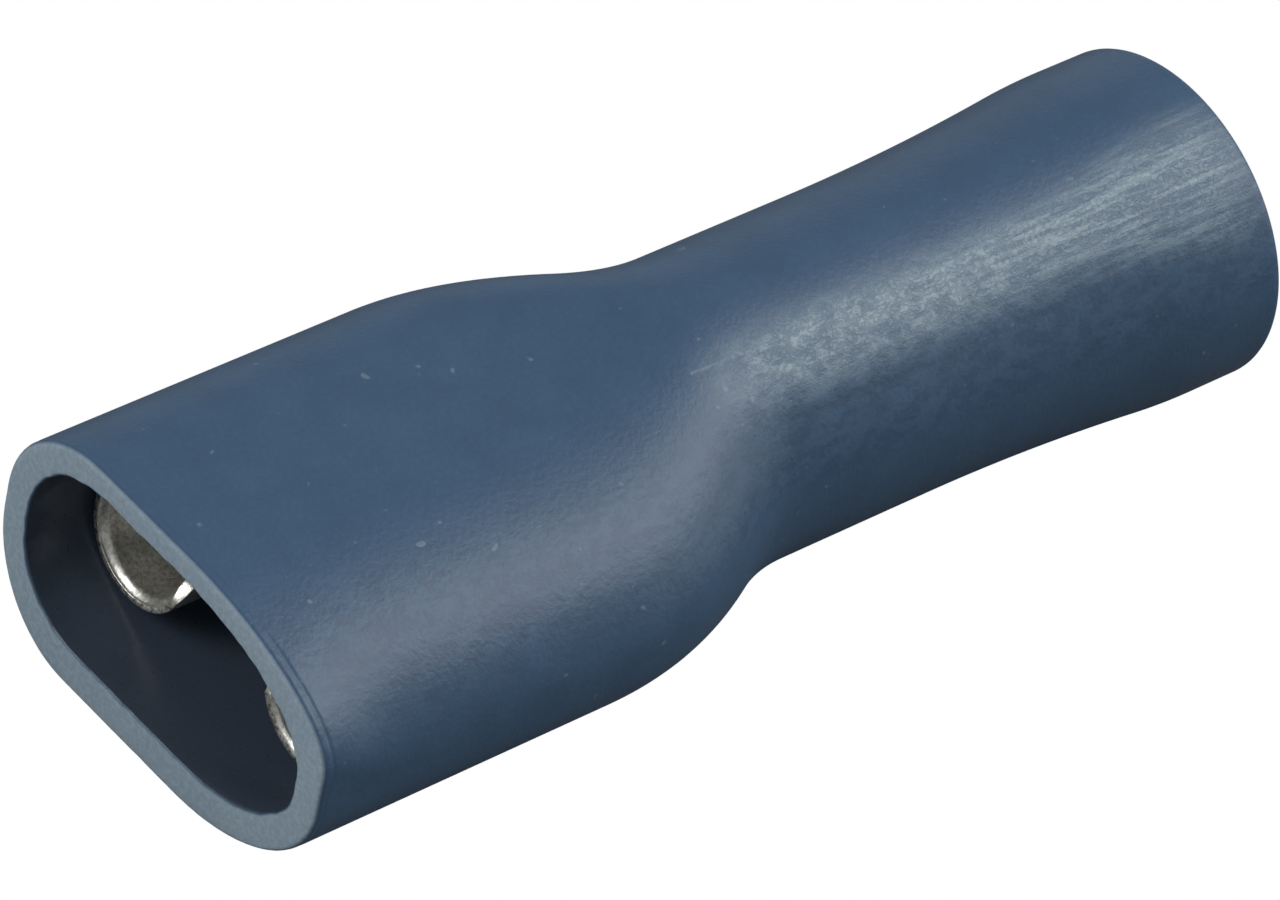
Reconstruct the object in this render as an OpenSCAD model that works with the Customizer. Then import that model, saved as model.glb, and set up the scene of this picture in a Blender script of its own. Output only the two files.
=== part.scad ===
// Fully insulated female spade terminal for a flat push-on tab, crimped to a stranded wire.
// X runs from the tab mouth at X = 0 to the wire entry, Y is across the tab, +Z is up.
// The tab's middle plane, the crimp barrel and the plastic barrel share one axis.

/* [Tab] */
// Width of the tab that slides in
tab_w = 6.3; // [5.8:0.05:6.8]
// Thickness of the tab that slides in
tab_t = 0.8; // [0.7:0.05:0.9]

/* [Receptacle] */
// Thickness of the brass sheet that the terminal is stamped from
sheet = 0.4; // [0.34:0.02:0.46]
// Free space beside each edge of the tab
tab_play = 0.05; // [0.02:0.01:0.15]
// How much narrower the relaxed slot is than the tab, so that the rolled edges grip it
tab_grip = 0.05; // [0:0.01:0.1]
// Outer radius of the rolled edges
roll_r = 1.2; // [1.1:0.05:1.35]
// Inner radius of the bend between the base plate and its sides
bend_r = 0.25; // [0.15:0.05:0.4]
// Length of the rolled receptacle
receptacle_l = 6.7; // [6:0.1:7.2]
// How far the receptacle sits back from the mouth of the housing
recess = 1.6; // [1.2:0.1:1.9]
// Corner cut off the front edges of the base plate and the rolls, so that the tab finds its way in
lead_in = 0.12; // [0.06:0.02:0.2]
// Diameter of the ball that presses the locking dimple into the base plate
dimple_d = 2.4; // [2:0.1:2.8]
// Height of the locking dimple inside the slot
dimple_h = 0.2; // [0.1:0.02:0.26]
// Distance from the front edge of the receptacle to the centre of the dimple
dimple_at = 4.1; // [3.5:0.1:4.6]

/* [Neck and crimp barrel] */
// Width of the strip where it leaves the receptacle
neck_w = 5; // [4.4:0.1:5.6]
// Length of the neck between the receptacle and the crimp barrel
neck_l = 3.1; // [2.8:0.1:3.5]
// Bore of the crimp barrel, which takes the bare strands
wire_bore_d = 2.3; // [2.1:0.05:2.5]
// Length of the crimp barrel
crimp_l = 6.2; // [5.6:0.1:6.6]
// Gap of the butt seam along the underside of the crimp barrel
seam_gap = 0.1; // [0.06:0.02:0.2]
// Number of grooves inside the crimp barrel that bite into the strands
groove_n = 3; // [2:1:4]
// Distance from one groove to the next
groove_pitch = 1.2; // [0.8:0.1:1.4]
// Width of each groove at the bore
groove_w = 0.35; // [0.25:0.05:0.5]
// Depth of each groove
groove_d = 0.08; // [0.04:0.02:0.1]
// Corner cut inside the wire end of the crimp barrel
strand_lead_in = 0.15; // [0.05:0.05:0.25]

/* [Housing mouth] */
// Wall thickness at the sides of the mouth
mouth_wall = 0.65; // [0.55:0.05:0.8]
// How much thinner the roof of the mouth is than its sides, and how much thicker its floor is
mouth_drop = 0.15; // [0:0.05:0.2]
// Free space between the receptacle and each side of the mouth
seat_gap = 0.15; // [0.12:0.01:0.25]
// Free space between the rolled edges and the floor of the mouth
floor_gap = 0.25; // [0.2:0.05:0.4]
// Width of the flat roof and floor inside the mouth, between the rounded corners
roof_flat = 3.4; // [3.2:0.1:4.2]
// Height of the flat sides inside the mouth, between the rounded corners
side_flat = 0.5; // [0.4:0.05:1]
// Length of the straight part of the mouth
mouth_l = 7; // [6.8:0.1:7.6]
// Radius round the outer edge of the mouth
mouth_edge_r = 0.06; // [0.04:0.02:0.16]
// Radius round the inner edge of the mouth
lip_r = 0.06; // [0.04:0.02:0.12]

/* [Housing barrel] */
// Length of the shoulder from the mouth down to the barrel
shoulder_l = 5.5; // [5:0.1:5.8]
// Share of the shoulder that bulges outwards before it hollows into the barrel
shoulder_turn = 0.6; // [0.5:0.01:0.7]
// Diameter of the slim part of the barrel
barrel_d = 5.9; // [5.5:0.05:6.2]
// Diameter of the flared wire end
flare_d = 6.5; // [6.3:0.05:7]
// Length of the full-diameter flare at the wire end
flare_l = 1.5; // [1:0.1:2.4]
// Length of the ramp from the slim barrel up to the flare
ramp_l = 6.4; // [5.6:0.1:6.8]
// Share of the ramp that hollows before it rounds over into the flare
ramp_turn = 0.8; // [0.6:0.05:0.85]
// Radius round the outer edge of the wire end
end_edge_r = 0.12; // [0.06:0.02:0.3]

/* [Housing bore] */
// Free space between the end of the receptacle and the start of the pocket's taper
pocket_gap = 0.1; // [0.05:0.05:0.2]
// Share of the pocket's taper that bulges outwards before it hollows
pocket_turn = 0.35; // [0.3:0.01:0.5]
// How far the seat's ledge lies behind the front of the crimp barrel
ledge_at = 1.1; // [0.9:0.1:1.6]
// Step that centres the crimp barrel where the pocket ends
seat_ledge = 0.2; // [0.1:0.05:0.3]
// Free space round the crimp barrel in its plastic seat
crimp_gap = 0.04; // [0.02:0.01:0.08]
// Free space between the end of the crimp barrel and the shoulder that stops it
stop_gap = 0.1; // [0.05:0.05:0.3]
// Length of the funnel that guides the strands into the crimp barrel
funnel_l = 2.2; // [1.6:0.1:2.8]
// Diameter of the wire entry, which takes the wire's insulation
entry_d = 4.4; // [4:0.05:4.8]
// Length of the straight wire entry
entry_l = 3.85; // [3:0.05:4.4]
// Corner cut inside the edge of the wire entry
entry_lead_in = 0.25; // [0.1:0.05:0.35]

/* [Hidden] */

// Smoothness of turned and extruded surfaces, and steps of the lofted ones
$fn = 72;
quarter_steps = 16;
shoulder_steps = 18;
pocket_steps = 14;
ramp_steps = 12;
edge_steps = 4;
neck_steps = 10;
neck_arc_steps = 12;

// A cut reaches this far past the surface that it opens
over = 0.5;
// Lofted metal lies this far inside the exact metal that it runs into
inlay = 0.02;

// Receptacle, across the tab
slot_w = tab_w + 2 * tab_play;
receptacle_w = slot_w + 2 * sheet;
half_w = receptacle_w / 2;
crimp_r = wire_bore_d / 2 + sheet;
plate_under = tab_t / 2;
plate_top = plate_under + sheet;
roll_y = half_w - roll_r;
roll_z = plate_top - roll_r;
tip_z = tab_grip - tab_t / 2;

// Terminal, along the wire
receptacle_end = recess + receptacle_l;
crimp_start = receptacle_end + neck_l;
crimp_end = crimp_start + crimp_l;
neck_overlap = 0.7;
dimple_x = recess + dimple_at;
dimple_z = plate_under - dimple_h + dimple_d / 2;

// Housing, across the wire
cavity_half_w = half_w + seat_gap;
cavity_half_h = roll_r - roll_z + floor_gap;
corner_reach = cavity_half_w - roof_flat / 2;
corner_rise = cavity_half_h - side_flat / 2;
barrel_r = barrel_d / 2;
flare_r = flare_d / 2;
seat_r = crimp_r + crimp_gap;
ledge_r = seat_r + seat_ledge;
entry_r = entry_d / 2;

// Housing, along the wire
pocket_end = receptacle_end + pocket_gap;
ledge_x = crimp_start + ledge_at;
seat_end = crimp_end + stop_gap;
entry_start = seat_end + funnel_l;
housing_l = entry_start + entry_l;
ramp_start = housing_l - flare_l - ramp_l;

// An S-curve from 0 to 1 made of two tangent parabolas that meet at the share "turn".
function ease(u, turn) =
    u <= 0 ? 0 : u >= 1 ? 1 : u < turn ? u * u / turn : 1 - (1 - u) * (1 - u) / (1 - turn);

// The value a share t of the way from a to b.
function between(a, b, t) = a + (b - a) * t;

// One closed ring of points at x: a rectangle a by b (half sizes) with elliptic corners ca by cb,
// whose middle lies "drop" below the axis.
function ring(x, a, b, ca, cb, drop = 0) = [
    for (q = [0:3], k = [0:quarter_steps - 1])
        let (
            angle = 90 * (q + (k + 0.5) / quarter_steps),
            side_y = q == 0 || q == 3 ? 1 : -1,
            side_z = q < 2 ? 1 : -1
        )
        [x, side_y * (a - ca) + ca * cos(angle), side_z * (b - cb) + cb * sin(angle) - drop]
];

// A ring of the housing's skin, "inset" inside its outer face.
function skin(x, inset = 0) =
    let (
        narrow = ease((x - mouth_l) / shoulder_l, shoulder_turn),
        swell = ease((x - ramp_start) / ramp_l, ramp_turn),
        r = between(barrel_r, flare_r, swell) - inset,
        a = between(cavity_half_w + mouth_wall - inset, r, narrow),
        b = between(cavity_half_h + mouth_wall - inset, r, narrow),
        ca = between(corner_reach + mouth_wall - inset, r, narrow),
        cb = between(corner_rise + mouth_wall - inset, r, narrow)
    )
    ring(x, a, b, ca, cb, between(mouth_drop, 0, narrow));

// A ring of the pocket's wall, "flare" outside it, which tapers from the mouth to the seat's ledge.
function pocket_ring(x, flare = 0) =
    let (narrow = ease((x - pocket_end) / (ledge_x - pocket_end), pocket_turn))
    ring(
        x,
        between(cavity_half_w, ledge_r, narrow) + flare,
        between(cavity_half_h, ledge_r, narrow) + flare,
        between(corner_reach, ledge_r, narrow) + flare,
        between(corner_rise, ledge_r, narrow) + flare
    );

// A solid through rings of n points each, where point i lies across from point n - 1 - i.
module loft(rings) {
    n = len(rings[0]);
    last = (len(rings) - 1) * n;
    polyhedron(
        points = [for (r = rings, p = r) p],
        faces = concat(
            [for (i = [0:n / 2 - 2]) [i, i + 1, n - 2 - i, n - 1 - i]],
            [for (j = [0:n:last - n], i = [0:n - 1])
                [j + i, j + n + i, j + n + (i + 1) % n, j + (i + 1) % n]],
            [for (i = [0:n / 2 - 2]) [last + n - 1 - i, last + n - 2 - i, last + i + 1, last + i]]
        ),
        convexity = 6
    );
}

// Rings of skin round an outer edge of radius r, whose face lies at x; "way" is 1 or -1 into the plastic.
function rounded_edge(x, r, way) = [
    for (k = [0:edge_steps])
        let (angle = 90 * (way > 0 ? 1 - k / edge_steps : k / edge_steps))
        skin(x + way * r * (1 - sin(angle)), r * (1 - cos(angle)))
];

// The outer form of the housing: mouth, shoulder, slim barrel, ramp and flared wire end.
module housing_body() {
    loft(concat(
        rounded_edge(0, mouth_edge_r, 1),
        [for (k = [0:shoulder_steps]) skin(mouth_l + shoulder_l * k / shoulder_steps)],
        [for (k = [0:ramp_steps]) skin(ramp_start + ramp_l * k / ramp_steps)],
        rounded_edge(housing_l, end_edge_r, -1)
    ));
}

// The hollow that takes the receptacle and its neck, from the mouth to the ledge of the crimp seat.
module pocket() {
    taper_l = ledge_x - pocket_end;
    loft(concat(
        [pocket_ring(-over, lip_r)],
        [for (k = [0:edge_steps])
            let (angle = 90 * k / edge_steps)
            pocket_ring(lip_r * (1 - cos(angle)), lip_r * (1 - sin(angle)))],
        [for (k = [0:pocket_steps]) pocket_ring(pocket_end + taper_l * k / pocket_steps)]
    ));
}

// The round hole from the ledge to the wire end: crimp seat, stop, funnel and wire entry.
module barrel_bore() {
    rotate([0, 90, 0])
        rotate_extrude()
            polygon([
                [0, ledge_x - over],
                [seat_r, ledge_x - over],
                [seat_r, seat_end],
                [wire_bore_d / 2, seat_end],
                [entry_r, entry_start],
                [entry_r, housing_l - entry_lead_in],
                [entry_r + entry_lead_in, housing_l],
                [entry_r + entry_lead_in, housing_l + over],
                [0, housing_l + over]
            ]);
}

// One-piece moulded plastic sleeve.
module housing() {
    color("steelblue")
        difference() {
            housing_body();
            pocket();
            barrel_bore();
        }
}

// Half of the receptacle's section, drawn with Y to the right and Z up.
module half_section() {
    bend_y = half_w - sheet - bend_r;
    bend_z = plate_under - bend_r;
    translate([0, plate_under])
        square([bend_y, sheet]);
    translate([bend_y, bend_z])
        intersection() {
            difference() {
                circle(bend_r + sheet);
                circle(bend_r);
            }
            square(bend_r + sheet);
        }
    translate([half_w - sheet, roll_z])
        square([sheet, bend_z - roll_z]);
    difference() {
        union() {
            translate([roll_y, roll_z])
                intersection() {
                    difference() {
                        circle(roll_r);
                        circle(roll_r - sheet);
                    }
                    translate([-roll_r, -roll_r])
                        square([2 * roll_r, roll_r]);
                }
            translate([roll_y - roll_r, roll_z])
                square([sheet, bend_z - roll_z]);
        }
        translate([0, tip_z])
            square([roll_y, plate_top - tip_z]);
    }
}

// Base plate with both edges rolled over, open towards the tab.
module receptacle() {
    difference() {
        union() {
            translate([recess, 0, 0])
                rotate([90, 0, 90])
                    linear_extrude(receptacle_l) {
                        half_section();
                        mirror([1, 0])
                            half_section();
                    }
            dimple_bump();
        }
        dimple_hollow();
        plate_bevel();
    }
}

// The ball's round face below the plate, which snaps into the hole of the tab.
module dimple_bump() {
    intersection() {
        translate([dimple_x, 0, dimple_z])
            sphere(d = dimple_d);
        translate([dimple_x, 0, plate_under])
            cube([dimple_d, dimple_d, sheet], center = true);
    }
}

// The dent that the ball leaves in the upper face of the plate.
module dimple_hollow() {
    translate([dimple_x, 0, dimple_z])
        sphere(r = dimple_d / 2 - sheet);
}

// The bevel under the front edge of the plate, which guides the tab into the slot.
module plate_bevel() {
    translate([recess, 0, plate_under])
        rotate([0, 45, 0])
            cube([lead_in * sqrt(2), slot_w - 2 * bend_r, lead_in * sqrt(2)], center = true);
}

// One ring of the neck at share s of its length: a strip of sheet that curls as it runs back.
function neck_ring(s) =
    let (
        bow = ease(s, 0.5),
        mid_r = crimp_r - sheet / 2,
        strip_w = between(neck_w, PI * mid_r, bow),
        curl = max(bow, 0.01) / mid_r,
        crest_z = between(plate_top, crimp_r, bow) - sheet / 2,
        half_t = sheet / 2 - inlay,
        x = receptacle_end - neck_overlap + (neck_l + 2 * neck_overlap) * s
    )
    [
        for (face = [1, -1], k = [0:neck_arc_steps])
            let (
                share = face * (0.5 - k / neck_arc_steps),
                angle = share * strip_w * curl * 180 / PI,
                r = 1 / curl + face * half_t
            )
            [x, r * sin(angle), crest_z - 1 / curl + r * cos(angle)]
    ];

// The strip that joins the base plate to the crimp barrel.
module neck() {
    loft([for (k = [0:neck_steps]) neck_ring(k / neck_steps)]);
}

// The corners of one groove of the crimp barrel's bore, from its wire side to its tab side.
function groove_corners(i) =
    let (
        bore_r = wire_bore_d / 2,
        middle = crimp_l / 2 + (i - (groove_n - 1) / 2) * groove_pitch,
        half_top = groove_w / 2,
        half_root = groove_w / 2 - groove_d
    )
    [
        [bore_r, middle + half_top],
        [bore_r + groove_d, middle + half_root],
        [bore_r + groove_d, middle - half_root],
        [bore_r, middle - half_top]
    ];

// Tube rolled from the same sheet, with its butt seam underneath.
module crimp_barrel() {
    bore_r = wire_bore_d / 2;
    difference() {
        translate([crimp_start, 0, 0])
            rotate([0, 90, 0])
                rotate_extrude()
                    polygon(concat(
                        [
                            [bore_r, 0],
                            [crimp_r, 0],
                            [crimp_r, crimp_l],
                            [bore_r + strand_lead_in, crimp_l],
                            [bore_r, crimp_l - strand_lead_in]
                        ],
                        [for (i = [groove_n - 1:-1:0], corner = groove_corners(i)) corner]
                    ));
        translate([crimp_start - over, -seam_gap / 2, -crimp_r - over])
            cube([crimp_l + 2 * over, seam_gap, crimp_r + over]);
    }
}

// One-piece stamped and rolled brass terminal.
module terminal() {
    color("silver") {
        receptacle();
        neck();
        crimp_barrel();
    }
}

housing();
terminal();
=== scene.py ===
import math

import bpy
import numpy as np
from mathutils import Euler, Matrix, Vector, noise


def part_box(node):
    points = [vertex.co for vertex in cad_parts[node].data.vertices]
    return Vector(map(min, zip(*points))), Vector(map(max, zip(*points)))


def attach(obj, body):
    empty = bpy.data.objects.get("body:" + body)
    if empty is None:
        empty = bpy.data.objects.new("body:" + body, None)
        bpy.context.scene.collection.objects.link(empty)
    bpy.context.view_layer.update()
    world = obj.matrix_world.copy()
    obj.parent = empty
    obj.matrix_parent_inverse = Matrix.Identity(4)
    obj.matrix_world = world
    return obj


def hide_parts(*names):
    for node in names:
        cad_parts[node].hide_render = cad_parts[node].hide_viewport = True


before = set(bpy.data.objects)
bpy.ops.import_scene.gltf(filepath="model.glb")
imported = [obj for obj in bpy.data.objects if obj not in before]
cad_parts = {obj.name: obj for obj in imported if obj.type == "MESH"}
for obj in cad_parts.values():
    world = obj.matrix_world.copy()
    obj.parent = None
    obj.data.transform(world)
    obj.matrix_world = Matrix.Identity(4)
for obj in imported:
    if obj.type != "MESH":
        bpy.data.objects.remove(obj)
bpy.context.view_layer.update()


# ---------------------------------------------------------------- housing
# The insulating sleeve: one piece of matte blue nylon, injection moulded round a core. A flat mouth
# holds the receptacle, a shoulder narrows to a round barrel over the crimp, and the end flares for
# the wire. The terminal is pushed in from the mouth until its barrel meets a stop.
MM = 0.001
scene = bpy.context.scene
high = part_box("housing")[1] / MM

# Outside, in millimetres. Sizes a and b are half the width and half the height.
mouth_a = high.y
mouth_b = 2.5
mouth_drop = 0.15
mouth_l = 7.0
mouth_settle_l = 2.2
mouth_edge_r = 0.1
shoulder_l = 5.4
shoulder_turn = 0.66
barrel_r = 2.95
flare_r = high.z
flare_l = 1.25
ramp_l = 6.4
ramp_turn = 0.8
end_edge_r = 0.14

# The barrel and the flare lean over a little.
lean = 0.075
lean_start = mouth_l - 0.5
lean_l = 4.5
sleeve_l = high.x - lean * flare_r
ramp_start = sleeve_l - flare_l - ramp_l

# Inside
mouth_wall = 0.65
cavity_a = mouth_a - mouth_wall
cavity_b = mouth_b - mouth_wall
lip_r = 0.06
lip_settle_l = 1.5
pocket_end = 8.4
pocket_turn = 0.35
ledge_x = 12.5
ledge_r = 1.79
seat_r = 1.59
ledge_edge = 0.04
stop_x = 17.7
bore_r = 1.15
entry_x = 19.9
entry_r = 2.2
entry_lead_in = 0.25

# Corners in the order far top, near top, near floor, far floor: how far each reaches across and up,
# and the power of its curve. At the mouth the near corners reach further across than the far ones.
mouth_corners = ((2.23, 2.1, 2.05), (4.2, 1.7, 2), (3.5, 2.45, 2), (2.2, 2.45, 2))
body_corners = ((2.23, 2.1, 2.05), (3.8, 2.45, 2.15), (3.5, 2.45, 2), (2.2, 2.45, 2))
lip_corners = ((1.97, 1.72, 2.12), (3.6, 1.69, 2), (2.85, 1.67, 2), (1.85, 1.72, 2.12))
pocket_corners = ((2.05, 1.6, 2), (2.05, 1.6, 2), (2.05, 1.6, 2), (2.5, 1.6, 2))

# The fold at the near end of the shoulder, and the line behind the near top edge of the mouth.
# Turns round the axis are in radians, from the top towards the near side.
fold_x = 11.65
fold_turn = 1.25
fold_slant = 0.9
fold_spread = 0.75
fold_w = 0.3
fold_depth = 0.035
edge_line_x = 0.22
edge_line_wave = 0.02
edge_line_turn = 1.1
edge_line_spread = 0.4
edge_line_w = 0.03
edge_line_depth = 0.025

# How far the lip and the outer edge of the mouth wander, over how many rings.
lip_wander = 0.08
edge_wander = 0.014
rough_rings = 8

# How many points a ring has, and how far apart the rings are.
around = 224
mouth_step = 0.03
skin_step = 0.1
pocket_step = 0.14
seat_step = 0.3
entry_step = 0.35


def between(a, b, t):
    return a + (b - a) * t


def ease(u, turn):
    """An S-curve from 0 to 1: two tangent parabolas that meet at the share turn."""
    if u <= 0:
        return 0.0
    if u >= 1:
        return 1.0
    return u * u / turn if u < turn else 1 - (1 - u) ** 2 / (1 - turn)


def ring(x, a, b, corners, drop=0.0):
    """Evenly spaced points round a rectangle a by b (half sizes), each corner with its own curve."""
    arc = np.linspace(0, math.pi / 2, 81)[1:-1]
    path = []
    for quarter, (ca, cb, power) in enumerate((corners[0], corners[3], corners[2], corners[1])):
        y = np.concatenate(([0, a - ca], a - ca + ca * np.sin(arc) ** (2 / power), [a]))
        z = np.concatenate(([b, b], b - cb + cb * np.cos(arc) ** (2 / power), [b - cb]))
        side_y = 1 if quarter < 2 else -1
        side_z = 1 if quarter in (0, 3) else -1
        points = np.column_stack((side_y * y, side_z * z))
        points = points if quarter in (0, 2) else points[::-1]
        run = np.concatenate(([0], np.cumsum(np.hypot(*np.diff(points, axis=0).T))))
        if quarter in (0, 2):
            points = np.vstack((points, [points[-1][0], 0]))
            run = np.append(run, run[-1] + b - cb)
        else:
            points = np.vstack(([points[0][0], 0], points))
            run = np.append(0, run + b - cb)
        at = np.linspace(0, run[-1], around // 4, endpoint=False)
        path.append(np.column_stack([np.interp(at, run, points[:, k]) for k in (0, 1)]))
    path = np.vstack(path)
    return np.column_stack((np.full(around, x), path[:, 0], path[:, 1] - drop))


def skin(x, inset=0.0):
    """The outside of the sleeve at x."""
    narrow = ease((x - mouth_l) / shoulder_l, shoulder_turn)
    swell = ease((x - ramp_start) / ramp_l, ramp_turn)
    r = between(barrel_r, flare_r, swell)
    a, b = (between(size, r, narrow) - inset for size in (mouth_a, mouth_b))
    settled = ease(x / mouth_settle_l, 0.5)
    corners = [
        [between(between(mouth, body, settled), end, narrow) - cut
         for mouth, body, end, cut in zip(*pair, (r, r, 2), (inset, inset, 0))]
        for pair in zip(mouth_corners, body_corners)
    ]
    return ring(x, a, b, corners, between(mouth_drop, 0, narrow))


def pocket(x, flare=0.0):
    """The inside of the sleeve at x, from the lip of the mouth to the ledge."""
    narrow = ease((x - pocket_end) / (ledge_x - pocket_end), pocket_turn)
    inward = ease(x / lip_settle_l, 0.5)
    corners = [
        [between(between(lip, deep, inward), end, narrow) + add
         for lip, deep, end, add in zip(*pair, (ledge_r, ledge_r, 2), (flare, flare, 0))]
        for pair in zip(lip_corners, pocket_corners)
    ]
    a, b = (between(size, ledge_r, narrow) + flare for size in (cavity_a, cavity_b))
    return ring(x, a, b, corners)


def bore(x, r):
    return ring(x, r, r, ((r, r, 2),) * 4)


def sweep(start, end, step):
    return np.linspace(start, end, max(2, round((end - start) / step) + 1))


def quarter_turn(steps):
    return np.linspace(0, math.pi / 2, steps + 1)


def wander(points, per_mm, seed):
    """Slow seeded noise from -1 to 1 at each point."""
    shift = Vector((seed, 0, 0))
    return np.array([noise.noise(Vector(point) * per_mm + shift) for point in points])


def press(ring_points, depth):
    """Moves the points of one ring towards the axis by their own depths."""
    reach = np.hypot(ring_points[:, 1], ring_points[:, 2])
    ring_points[:, 1:] *= (1 - depth / reach)[:, None]


def pinch(ring_points):
    """How deep the fold at the near end of the shoulder is at each point of a ring."""
    x, y, z = ring_points.T
    turn = np.arctan2(-y, z)
    along = (x - (fold_x - fold_slant * (turn - fold_turn))) / fold_w
    round_it = np.clip(1 - np.abs(turn - fold_turn) / fold_spread, 0, 1)
    return fold_depth * np.exp(-along ** 2) * round_it ** 2 * (3 - 2 * round_it)


def edge_line(ring_points):
    """How deep the line behind the near top edge of the mouth is, at each point of a ring."""
    x, y, z = ring_points.T
    turn = np.arctan2(-y, z)
    round_it = np.clip(1 - np.abs(turn - edge_line_turn) / edge_line_spread, 0, 1)
    wave = edge_line_x + edge_line_wave * wander(ring_points * (0, 1, 1), 1.5, 12)
    along = (x - wave) / edge_line_w
    return edge_line_depth * np.exp(-along ** 2) * np.minimum(1, 2 * round_it)


def outside_rings():
    """Rings from the front edge of the mouth to the edge of the wire end."""
    rings = [
        skin(mouth_edge_r * (1 - math.sin(turn)), mouth_edge_r * (1 - math.cos(turn)))
        for turn in quarter_turn(4)[::-1]
    ]
    rings += [skin(x) for x in sweep(mouth_edge_r + mouth_step, 0.4, mouth_step)]
    rings += [skin(x) for x in sweep(0.5, sleeve_l - end_edge_r - skin_step, skin_step)]
    rings += [
        skin(sleeve_l - end_edge_r * (1 - math.sin(turn)), end_edge_r * (1 - math.cos(turn)))
        for turn in quarter_turn(6)
    ]
    return np.array(rings)


def inside_rings():
    """Rings over the face of the wire end, in through the bore and the pocket, out to the lip."""
    end_face = (entry_r + entry_lead_in + 0.03, flare_r - end_edge_r)
    lead_in_x = sleeve_l - entry_lead_in
    rings = [bore(sleeve_l, between(*end_face, share)) for share in (0.67, 0.33, 0)]
    rings += [bore(sleeve_l - 0.02, entry_r + entry_lead_in), bore(lead_in_x, entry_r + 0.02)]
    rings += [bore(x, entry_r) for x in sweep(entry_x, lead_in_x - 0.1, entry_step)[::-1]]
    rings += [
        bore(between(stop_x, entry_x, share), between(bore_r, entry_r, share))
        for share in np.linspace(1, 0, 9)[1:-1]
    ]
    rings += [bore(stop_x + ledge_edge, bore_r + 0.01)]
    rings += [bore(stop_x, bore_r + ledge_edge), bore(stop_x, seat_r - ledge_edge)]
    rings += [bore(x, seat_r) for x in sweep(ledge_x + 0.05, stop_x - 0.05, seat_step)[::-1]]
    rings += [bore(ledge_x, seat_r + ledge_edge), bore(ledge_x, ledge_r - ledge_edge)]
    rings += [pocket(x) for x in sweep(lip_r + 0.08, ledge_x - 0.05, pocket_step)[::-1]]
    rings += [
        pocket(lip_r * (1 - math.sin(turn)), lip_r * (1 - math.cos(turn))) for turn in quarter_turn(4)
    ]
    return np.array(rings)


def roughen_mouth(outside, inside):
    """Lets the lip and the outer edge wander, less and less away from the face of the mouth."""
    for k in range(rough_rings):
        fall = 1 - k / rough_rings
        ragged = wander(inside[-1], 0.9, 3) * 0.55 + wander(inside[-1], 4.0, 5) * 0.45
        press(inside[-1 - k], ragged * lip_wander * fall)
        uneven = wander(outside[0], 1.4, 8) * 0.5 + wander(outside[0], 7, 9) * 0.5
        press(outside[k], np.maximum(0, uneven * edge_wander * fall + edge_wander * 0.4))


def lean_over(rings, start, length):
    """Slides the top of each ring forward and its foot back, more and more along the length."""
    share = np.clip((rings[..., 0] - start) / length, 0, 1)
    rings[..., 0] -= lean * rings[..., 2] * share ** 2 * (3 - 2 * share)


def sleeve_rings():
    """All rings of the sleeve in order, and which of them lie within it or on the mouth's face."""
    outside, inside = outside_rings(), inside_rings()
    for points in outside:
        press(points, pinch(points) + edge_line(points))
    roughen_mouth(outside, inside)
    lean_over(outside, lean_start, lean_l)
    lean_over(inside, entry_x, sleeve_l - entry_x)
    face = [between(inside[-1], outside[0], share) for share in (0.25, 0.5, 0.75)]
    end_face_rings = 5
    lip_rings = 3
    deep = [1] * (len(inside) - end_face_rings - lip_rings)
    edge_on_face, lip_on_face = [1, 1, 0.5], [0.5, 1]
    plain = [0] * (len(outside) + len(inside) - len(edge_on_face) - len(lip_on_face))
    parts = {"within": [0] * (len(outside) + end_face_rings) + deep + [0] * (lip_rings + len(face)),
             "face": edge_on_face + plain + lip_on_face + [1] * len(face)}
    return np.concatenate((outside, inside, face)), parts


def ring_mesh(name, rings, parts):
    """A closed mesh of quads through rings that follow one another and come back to the first."""
    count, n = rings.shape[:2]
    faces = [
        (i * n + j, i * n + (j + 1) % n, (i + 1) % count * n + (j + 1) % n, (i + 1) % count * n + j)
        for i in range(count)
        for j in range(n)
    ]
    mesh = bpy.data.meshes.new(name)
    mesh.from_pydata((rings.reshape(-1, 3) * MM).tolist(), [], faces)
    mesh.polygons.foreach_set("use_smooth", [True] * len(faces))
    for part, shares in parts.items():
        layer = mesh.attributes.new(part, "FLOAT", "POINT")
        layer.data.foreach_set("value", np.repeat(shares, n).astype(float))
    mesh.update()
    return mesh


def add_piece(mesh):
    piece = bpy.data.objects.new(mesh.name, mesh)
    scene.collection.objects.link(piece)
    return piece


sleeve = add_piece(ring_mesh("sleeve", *sleeve_rings()))


def put(tree, value, socket):
    """Links another node's output to the socket, or sets a plain value on it."""
    if isinstance(value, bpy.types.NodeSocket):
        tree.links.new(value, socket)
    else:
        socket.default_value = value


def node(tree, kind, inputs=(), **settings):
    made = tree.nodes.new(kind)
    for key, value in settings.items():
        setattr(made, key, value)
    for key, value in dict(inputs).items():
        put(tree, value, made.inputs[key])
    return made


def calc(tree, operation, *values):
    made = node(tree, "ShaderNodeMath", operation=operation)
    for value, socket in zip(values, made.inputs):
        put(tree, value, socket)
    return made.outputs[0]


def times(tree, first, *others):
    for other in others:
        first = calc(tree, "MULTIPLY", first, other)
    return first


def plus(tree, first, second):
    return calc(tree, "ADD", first, second)


def minus(tree, first, second):
    return calc(tree, "SUBTRACT", first, second)


def off_from(tree, value, middle):
    """How far a value is from the middle, either way."""
    return calc(tree, "ABSOLUTE", minus(tree, value, middle))


def fade(tree, value, start, end):
    """0 before the start and 1 past the end, with a smooth turn between them."""
    sizes = {"Value": value, "From Min": start, "From Max": end}
    return node(tree, "ShaderNodeMapRange", sizes, interpolation_type="SMOOTHSTEP").outputs["Result"]


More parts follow.
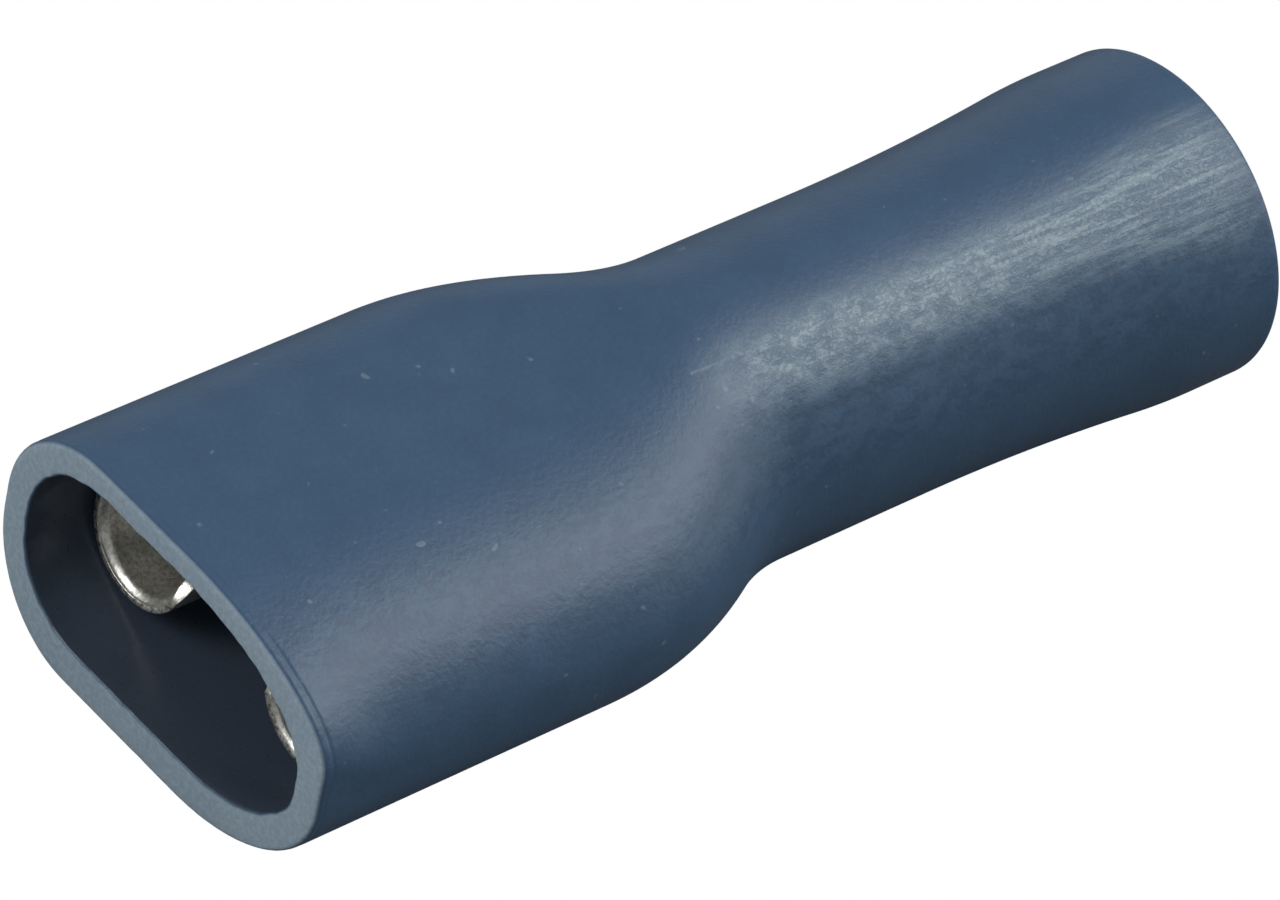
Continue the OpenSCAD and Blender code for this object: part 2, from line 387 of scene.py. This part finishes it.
def blend(tree, share, first, second):
    made = node(tree, "ShaderNodeMix", data_type="RGBA")
    for value, k in ((share, 0), (first, 6), (second, 7)):
        put(tree, value, made.inputs[k])
    return made.outputs[2]


def noise_at(tree, point, scale, detail=4.0, rough=0.55):
    inputs = {"Vector": point, "Scale": scale, "Detail": detail, "Roughness": rough}
    return node(tree, "ShaderNodeTexNoise", inputs).outputs["Fac"]


def stretch(tree, point, scale):
    return node(tree, "ShaderNodeMapping", {"Vector": point, "Scale": scale}).outputs["Vector"]


def group(name, inputs, outputs):
    made = bpy.data.node_groups.new(name, "ShaderNodeTree")
    for way, sockets in (("INPUT", inputs), ("OUTPUT", outputs)):
        for label, kind in sockets:
            made.interface.new_socket(label, in_out=way, socket_type="NodeSocket" + kind)
    return made, made.nodes.new("NodeGroupInput").outputs, made.nodes.new("NodeGroupOutput").inputs


def use(tree, shared, inputs):
    made = tree.nodes.new("ShaderNodeGroup")
    made.node_tree = shared
    for key, value in inputs.items():
        put(tree, value, made.inputs[key])
    return made.outputs


def bumpy(tree, height, depth, shade):
    """Makes the surface stand out by its height times the depth in metres."""
    inputs = {"Height": height, "Strength": 1.0, "Distance": depth}
    put(tree, node(tree, "ShaderNodeBump", inputs).outputs["Normal"], shade["Normal"])


# The grain every surface here has: small bumps of a given size, and a slow change of tone.
grain, given, result = group(
    "surface_grain", (("Point", "Vector"), ("Per mm", "Float")), (("Height", "Float"), ("Tone", "Float"))
)
fine = noise_at(grain, given["Point"], given["Per mm"], 5.0, 0.6)
slow = noise_at(grain, given["Point"], 0.9)
put(grain, fine, result["Height"])
put(grain, plus(grain, times(grain, fine, 0.4), times(grain, slow, 0.6)), result["Tone"])

# A thin broken line along the top: where it runs across, how it slants, where it starts and ends.
scratch, given, result = group(
    "scratch",
    (("Point", "Vector"), ("Y", "Float"), ("Slant", "Float"), ("From", "Float"), ("To", "Float"),
     ("Width", "Float")),
    (("Share", "Float"),),
)
place = node(scratch, "ShaderNodeSeparateXYZ", {"Vector": given["Point"]}).outputs
run = times(scratch, minus(scratch, place["X"], given["From"]), given["Slant"])
off = off_from(scratch, minus(scratch, place["Y"], given["Y"]), run)
line = fade(scratch, off, given["Width"], 0.0)
broken = fade(scratch, noise_at(scratch, stretch(scratch, given["Point"], (1.2, 6, 6)), 1.0), 0.35, 0.6)
started = calc(scratch, "GREATER_THAN", place["X"], given["From"])
not_ended = calc(scratch, "LESS_THAN", place["X"], given["To"])
upper = calc(scratch, "GREATER_THAN", place["Z"], 0.0)
length = times(scratch, started, not_ended)
put(scratch, times(scratch, times(scratch, line, broken), times(scratch, length, upper)), result["Share"])


def new_material(name):
    """A material, its tree, its shader's inputs, and the point on the piece in millimetres."""
    made = bpy.data.materials.new(name)
    made.use_nodes = True
    tree = made.node_tree
    metres = tree.nodes.new("ShaderNodeTexCoord").outputs["Object"]
    return made, tree, tree.nodes["Principled BSDF"].inputs, stretch(tree, metres, (1000, 1000, 1000))


def mesh_part(tree, name):
    return node(tree, "ShaderNodeAttribute", attribute_name=name).outputs["Fac"]


skin_dark = (0.0335, 0.079, 0.146, 1)
skin_pale = (0.041, 0.093, 0.17, 1)
# A pale colour for the ridge's scuffs and for its painted highlight.
scuff_and_sheen_colour = (0.24, 0.32, 0.37, 1)
# A darker blue laid in mottles over the near edge: painted shade.
near_side_shade_colour = (0.014, 0.045, 0.1, 1)
speck_colour = (0.2, 0.28, 0.33, 1)
dark_line_colour = (0.015, 0.035, 0.07, 1)
# The pocket's colour: its own grey together with a painted shade of the inside.
pocket_colour_and_shade = (0.05, 0.069, 0.1, 1)
face_plain = (0.29, 0.385, 0.47, 1)
face_pale = (0.46, 0.54, 0.58, 1)
face_dark = (0.22, 0.3, 0.37, 1)

# The ridge, which carries scuffs and a painted highlight: its turn round the axis, its edges, and spans
# along the part in which it starts, widens, turns from flakes to streaks, and ends before the rim.
ridge_turn = 0.56
ridge_edge = (0.36, 0.1)
ridge_start = (10.0, 12.6)
ridge_widens = (18.5, 22.5)
ridge_wider = 0.16
streaks_start = (15.5, 19.5)
rim_start = (22.3, 23.5)
middle_turn = 0.5
line_w = 0.07
skin_rough = 0.33
bump_depth = 0.00002

plastic, tree, shade, point = new_material("blue_nylon")
plastic_grain = use(tree, grain, {"Point": point, "Per mm": 9.0})
within = mesh_part(tree, "within")
on_face = mesh_part(tree, "face")
place = node(tree, "ShaderNodeSeparateXYZ", {"Vector": point}).outputs
turn = calc(tree, "ARCTAN2", times(tree, place["Y"], -1.0), place["Z"])

# The barrel's near ridge is paler, in a band that widens towards the flare and ends before the rim:
# partly real scuffs, partly a painted highlight.
widening = times(tree, fade(tree, place["X"], *ridge_widens), ridge_wider)
ridge = fade(tree, minus(tree, off_from(tree, turn, ridge_turn), widening), *ridge_edge)
near_rim = fade(tree, place["X"], *rim_start)
ridge = times(tree, ridge, fade(tree, place["X"], *ridge_start))
ridge = times(tree, ridge, minus(tree, 1.0, times(tree, near_rim, 0.7)))

# The scuffs are flakes with creases between them near the shoulder, and streaks near the flare.
wrinkle = noise_at(tree, stretch(tree, point, (0.7, 1, 1)), 9.0, 4.0, 0.6)
crease = fade(tree, off_from(tree, wrinkle, 0.5), 0.0, 0.07)
flake = fade(tree, noise_at(tree, stretch(tree, point, (0.6, 1, 1)), 3.6, 6.0, 0.7), 0.36, 0.66)
leathery = times(tree, flake, plus(tree, 0.7, times(tree, crease, 0.3)))
drawn = noise_at(tree, stretch(tree, point, (0.35, 8, 8)), 1.0, 4.0, 0.6)
streaky = fade(tree, drawn, 0.44, 0.6)
by_flare = fade(tree, place["X"], *streaks_start)
marks = plus(tree, times(tree, leathery, minus(tree, 1.0, times(tree, by_flare, 0.75))),
             times(tree, streaky, plus(tree, 0.15, times(tree, by_flare, 0.7))))
# An even pale haze over the whole band, stronger in its middle, is a painted highlight; the flakes and
# streaks in it are scuffs.
scuff_and_sheen = times(tree, ridge, plus(tree, 0.36, times(tree, marks, 0.74)))
middle = fade(tree, off_from(tree, turn, middle_turn), 0.3, 0.05)
scuff_and_sheen = times(tree, scuff_and_sheen, plus(tree, 0.85, times(tree, middle, 0.45)))
pale_line = use(tree, scratch, {"Point": point, "Y": -1.15, "Slant": -0.047, "From": 10.4, "To": 23.3,
                                "Width": line_w})["Share"]
dark_line = use(tree, scratch, {"Point": point, "Y": -2.32, "Slant": -0.01, "From": 11.9, "To": 18.5,
                                "Width": line_w})["Share"]
scuff_and_sheen = calc(tree, "MAXIMUM", scuff_and_sheen, times(tree, pale_line, 0.8))

# The near edge is darkened in faint mottles, a painted shade, and the skin has a few pale specks.
near_side_shade = times(tree, fade(tree, turn, 0.6, 0.9), fade(tree, turn, 1.5, 1.2))
near_side_shade = times(tree, near_side_shade, fade(tree, flake, 0.75, 0.1))
specks = fade(tree, noise_at(tree, point, 3.5, 1.0), 0.74, 0.8)

skin_colour = blend(tree, fade(tree, plastic_grain["Tone"], 0.3, 0.7), skin_dark, skin_pale)
skin_colour = blend(tree, times(tree, scuff_and_sheen, 0.62), skin_colour, scuff_and_sheen_colour)
skin_colour = blend(tree, times(tree, near_side_shade, 0.4), skin_colour, near_side_shade_colour)
skin_colour = blend(tree, times(tree, specks, 0.4), skin_colour, speck_colour)
skin_colour = blend(tree, times(tree, dark_line, 0.4), skin_colour, dark_line_colour)

# The face of the mouth is paler and rougher than the skin. The pocket is smoother, and greyer partly by
# its own colour and partly by painted shade of the inside.
cloudy = times(tree, fade(tree, plastic_grain["Tone"], 0.42, 0.6), 0.15)
grainy = times(tree, fade(tree, plastic_grain["Height"], 0.62, 0.4), 0.5)
face_colour = blend(tree, grainy, blend(tree, cloudy, face_plain, face_pale), face_dark)
colour = blend(tree, within, skin_colour, pocket_colour_and_shade)
put(tree, blend(tree, on_face, colour, face_colour), shade["Base Color"])

rough = plus(tree, skin_rough, times(tree, plastic_grain["Height"], 0.12))
rough = minus(tree, rough, times(tree, within, 0.1))
put(tree, plus(tree, rough, times(tree, on_face, 0.2)), shade["Roughness"])

height = times(tree, plastic_grain["Height"], minus(tree, 0.6, times(tree, within, 0.52)))
height = plus(tree, height, times(tree, crease, ridge, 0.22))
height = plus(tree, height, times(tree, drawn, ridge, 0.5))
bumpy(tree, height, bump_depth, shade)

sleeve.data.materials.append(plastic)
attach(sleeve, "root")
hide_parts("housing")


# ---------------------------------------------------------------- terminal
# The contact: one strip of tin-plated brass. It is blanked, its edges are rolled over the tab, the
# base plate gets a locking dimple, and the rear is curled into a crimp barrel with a butt seam.
sheet = 0.4
plate_z = 0.6
bend_r = 0.45
bend_y = 2.95
roll_r = 1.03
roll_z = -0.25
roll_y = bend_y + bend_r - roll_r
roll_turn = math.radians(176)
receptacle_x = 1.45
receptacle_end = 8.3
neck_end = 11.4
neck_w = 5.0
crimp_end = 17.6
crimp_r = 1.35
seam_gap = 0.1
dimple_x = 5.7
dimple_r = 1.2
dimple_h = 0.2
strand_lead_in = 0.15

# The front edge is a little skewed, its corners are clipped, and it is thinned and deburred.
skew = 0.015
skew_l = 3.0
corner_cut = 0.3
corner_cut_l = 1.0
thinned = 0.18
thinned_l = 1.2
deburr = 0.1

# Columns of points across half the strip: on the neck's width, the plate's side, the bend, the drop,
# the roll and its clipped corner. The crimp barrel adds wings to the neck's columns.
half_columns = (17, 3, 8, 4, 28, 4)
core = half_columns[0]
wings = 17

# Rows of points along it: the first ones from the front edge back, and the steps of the rest.
front_rows = np.array([0, 0.03, 0.06, 0.09, 0.14, 0.2, 0.3, 0.42, 0.56, 0.7, 0.85, 1.0, 1.2])
plate_rows_start = 1.35
plate_step = 0.15
neck_rows = 21
crimp_step = 0.1


def section_point(s):
    """Where the point s from the middle of the flat strip goes when the receptacle is rolled."""
    side, s = math.copysign(1, s), abs(s)
    bend_z = plate_z - bend_r
    if s <= bend_y:
        return side * s, plate_z
    s -= bend_y
    if s <= bend_r * math.pi / 2:
        return side * (bend_y + bend_r * math.sin(s / bend_r)), bend_z + bend_r * math.cos(s / bend_r)
    s -= bend_r * math.pi / 2
    if s <= bend_z - roll_z:
        return side * (bend_y + bend_r), bend_z - s
    s -= bend_z - roll_z
    return side * (roll_y + roll_r * math.cos(s / roll_r)), roll_z - roll_r * math.sin(s / roll_r)


def half_strip():
    """Places across half the flat strip, and where its clipped corner starts."""
    arc = bend_r * math.pi / 2
    drop = plate_z - bend_r - roll_z
    curl_l = roll_r * roll_turn
    stops = np.cumsum([neck_w / 2, bend_y - neck_w / 2, arc, drop, curl_l - corner_cut, corner_cut])
    half = [0.0]
    for stop, count in zip(stops, half_columns):
        half += list(np.linspace(half[-1], stop, count + 1)[1:])
    return half, stops[4]


def receptacle_point(start, s, cut_start):
    """A point of the rolled receptacle, on the row that starts at the given x."""
    y, z = section_point(s)
    behind = start - receptacle_x
    back = max(0, abs(s) - cut_start) * max(0, 1 - behind / corner_cut_l)
    x = start + back - skew * y * max(0, 1 - behind / skew_l)
    reach = math.hypot(x - dimple_x, y)
    ball = math.sqrt(max(0, dimple_r ** 2 - reach ** 2)) - dimple_r + dimple_h
    if z == plate_z and ball > 0:
        z -= ball
    return x, y, z


def neck_point(share, column):
    """A point of the neck, where the flat strip narrows and curls up into the barrel."""
    bow = ease(share, 0.5)
    width = between(neck_w, math.pi * crimp_r, bow)
    curl = max(bow, 1e-6) / crimp_r
    crest = between(plate_z, crimp_r, bow)
    s = width / 2 * column / core
    x = between(receptacle_end, neck_end, share)
    return x, math.sin(s * curl) / curl, crest - (1 - math.cos(s * curl)) / curl


def crimp_point(x, column):
    """A point of the crimp barrel. Its edges meet in a butt seam at the foot."""
    half_turn = math.pi * crimp_r - seam_gap / 2
    s = math.pi * crimp_r / 2 * abs(column) / core
    if abs(column) > core:
        s = between(math.pi * crimp_r / 2, half_turn, (abs(column) - core) / wings)
    turn = math.copysign(s / crimp_r, column)
    return x, crimp_r * math.sin(turn), crimp_r * math.cos(turn)


def strip():
    """Points on the middle of the sheet, the row and column of each, and the last column."""
    points, grid = [], {}

    def add(row, column, point):
        grid[row, column] = len(points)
        points.append(point)

    half, cut_start = half_strip()
    last = len(half) - 1
    row = 0
    plate_rows = sweep(receptacle_x + plate_rows_start, receptacle_end, plate_step)
    for start in np.concatenate((receptacle_x + front_rows, plate_rows)):
        for column in range(-last, last + 1):
            s = math.copysign(half[abs(column)], column)
            add(row, column, receptacle_point(start, s, cut_start))
        row += 1
    for share in np.linspace(0, 1, neck_rows + 1)[1:]:
        for column in range(-core, core + 1):
            add(row, column, neck_point(share, column))
        row += 1
    for x in sweep(neck_end, crimp_end, crimp_step):
        shared = x == neck_end
        here = row - 1 if shared else row
        for column in range(-core - wings, core + wings + 1):
            if not (shared and abs(column) <= core):
                add(here, column, crimp_point(x, column))
        row += 0 if shared else 1
    return np.array(points), grid, last


def sheet_normals(points, quads, first):
    """Which way the sheet faces at each point, with the base plate facing up."""
    middle_mesh = bpy.data.meshes.new("strip")
    middle_mesh.from_pydata(points.tolist(), [], quads)
    middle_mesh.update()
    normals = np.array([v.normal for v in middle_mesh.vertices])
    bpy.data.meshes.remove(middle_mesh)
    return -normals if normals[first][2] < 0 else normals


def contact_mesh():
    points, grid, last = strip()
    quads = []
    for (i, j) in grid:
        corners = [(i, j), (i + 1, j), (i + 1, j + 1), (i, j + 1)]
        if all(corner in grid for corner in corners):
            quads.append([grid[corner] for corner in corners])
    normals = sheet_normals(points, quads, grid[0, 0])
    xs = points[:, 0]
    bite = np.clip(xs - (crimp_end - strand_lead_in), 0, strand_lead_in)
    near = np.clip(1 - (xs - receptacle_x) / thinned_l, 0, 1)
    bite += thinned * near ** 2 * (3 - 2 * near) + np.clip(deburr - (xs - receptacle_x), 0, deburr)
    outer = points + normals * sheet / 2
    inner = points - normals * (sheet / 2 - bite)[:, None]
    n = len(points)
    edges = {(a, b) for quad in quads for a, b in zip(quad, quad[1:] + quad[:1])}
    rim = [
        (b, a, a + n, b + n)
        for quad in quads
        for a, b in zip(quad, quad[1:] + quad[:1])
        if (b, a) not in edges
    ]
    faces = quads + [[corner + n for corner in quad[::-1]] for quad in quads] + rim
    mesh = bpy.data.meshes.new("contact")
    mesh.from_pydata((np.vstack((outer, inner)) * MM).tolist(), [], faces)
    mesh.polygons.foreach_set("use_smooth", [True] * len(faces))
    # Cut edges have their own finish, apart from the clipped corners and the sides of the rolls.
    columns = {index: column for (_, column), index in grid.items()}
    plain_from = last - half_columns[-1]
    finish = [0] * (2 * len(quads)) + [0 if abs(columns[quad[1]]) >= plain_from else 1 for quad in rim]
    mesh.polygons.foreach_set("material_index", finish)
    mesh.update()
    return mesh


contact = add_piece(contact_mesh())
soften = contact.modifiers.new("deburr", "BEVEL")
soften.width = 0.03 * MM
soften.segments = 2
soften.limit_method = "ANGLE"
soften.angle_limit = math.radians(50)

tin_rough = 0.42
pits_per_mm = 11.0


def tin(name, dark, pale, depth):
    made, tree, shade, point = new_material(name)
    pits = use(tree, grain, {"Point": point, "Per mm": pits_per_mm})
    put(tree, blend(tree, fade(tree, pits["Height"], 0.35, 0.6), dark, pale), shade["Base Color"])
    put(tree, 1.0, shade["Metallic"])
    put(tree, tin_rough, shade["Roughness"])
    bumpy(tree, pits["Height"], depth, shade)
    return made


contact.data.materials.append(tin("tin_plate", (0.6, 0.59, 0.53, 1), (0.86, 0.85, 0.8, 1), 0.00001))
contact.data.materials.append(tin("cut_edge", (0.25, 0.245, 0.21, 1), (0.95, 0.93, 0.86, 1), 0.00002))
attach(contact, "root")
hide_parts("terminal")


# ---------------------------------------------------------------- floor
# A sheet of pale card under the part, which rests on its mouth and its flared end. The camera sees the
# card as plain white. In the part's gloss it is dark close by, a painted shade of the card round the
# part, and white further off.
floor_half_w = 0.6
flare_foot_x = sleeve_l - 1
tilt = math.atan2(flare_r - mouth_b - mouth_drop, flare_foot_x)
card_dark = (0.28, 0.28, 0.28, 1)
card_pale = (0.32, 0.32, 0.32, 1)
card_shade_in_gloss = (0.1, 0.1, 0.1, 1)
card_rough = 0.9
white_from = (0.03, 0.12)

floor_mesh = bpy.data.meshes.new("floor")
corners = [(x * floor_half_w, y * floor_half_w, 0) for x, y in ((-1, -1), (1, -1), (1, 1), (-1, 1))]
floor_mesh.from_pydata(corners, [], [(0, 1, 2, 3)])
floor = add_piece(floor_mesh)
floor.location = (0, 0, -(mouth_b + mouth_drop) * MM)
floor.rotation_euler = (0, tilt, 0)

card, tree, shade, point = new_material("card")
card_grain = use(tree, grain, {"Point": point, "Per mm": 2.0})
light_path = node(tree, "ShaderNodeLightPath").outputs
paper = blend(tree, card_grain["Tone"], card_dark, card_pale)
# Glossy rays see the card dark: painted shade of the card near the part.
paper = blend(tree, light_path["Is Glossy Ray"], paper, card_shade_in_gloss)
put(tree, paper, shade["Base Color"])
put(tree, card_rough, shade["Roughness"])
white = node(tree, "ShaderNodeEmission", {"Color": (1, 1, 1, 1), "Strength": 1.0})
far_off = times(tree, light_path["Is Glossy Ray"], fade(tree, light_path["Ray Length"], *white_from))
seen = calc(tree, "MAXIMUM", light_path["Is Camera Ray"], far_off)
mix = node(tree, "ShaderNodeMixShader", {"Fac": seen})
tree.links.new(tree.nodes["Principled BSDF"].outputs["BSDF"], mix.inputs[1])
tree.links.new(white.outputs["Emission"], mix.inputs[2])
tree.links.new(mix.outputs["Shader"], tree.nodes["Material Output"].inputs["Surface"])
floor.data.materials.append(card)


# ---------------------------------------------------------------- studio
# Soft light from three square boxes in a dim white room: the key high over the wire end, the front
# one high beyond the mouth, and the side one low past the wire end. The camera stands on the near
# side and looks at the mouth.
centre = Vector((sleeve_l / 2, 0, 0)) * MM
box_distance = 0.25
room_light = 0.3
camera_place = (-80.175, -79.842, 106.176)
camera_turn = (47.8952, -9.9871, -39.8454)
camera_lens = 256.69


def soft_box(name, direction, size, power):
    lamp = bpy.data.lights.new(name, "AREA")
    lamp.shape = "SQUARE"
    lamp.size = size
    lamp.energy = power
    box = bpy.data.objects.new(name, lamp)
    scene.collection.objects.link(box)
    away = Vector(direction).normalized()
    box.location = centre + away * box_distance
    box.rotation_euler = (-away).to_track_quat("-Z", "Y").to_euler()


soft_box("key", (0.57, -0.28, 0.77), 0.18, 0.4)
soft_box("front", (-0.76, 0.31, 0.57), 0.13, 0.25)
soft_box("side", (0.88, -0.42, 0.16), 0.13, 0.06)

world = bpy.data.worlds.new("room")
scene.world = world
world.use_nodes = True
room = world.node_tree.nodes["Background"].inputs
room["Color"].default_value = (1, 1, 1, 1)
room["Strength"].default_value = room_light

camera = bpy.data.objects.new("camera", bpy.data.cameras.new("camera"))
scene.collection.objects.link(camera)
camera.location = Vector(camera_place) * MM
camera.rotation_euler = Euler([math.radians(angle) for angle in camera_turn])
camera.data.lens = camera_lens
camera.data.clip_start = 0.01
scene.camera = camera
scene.view_settings.view_transform = "Standard"
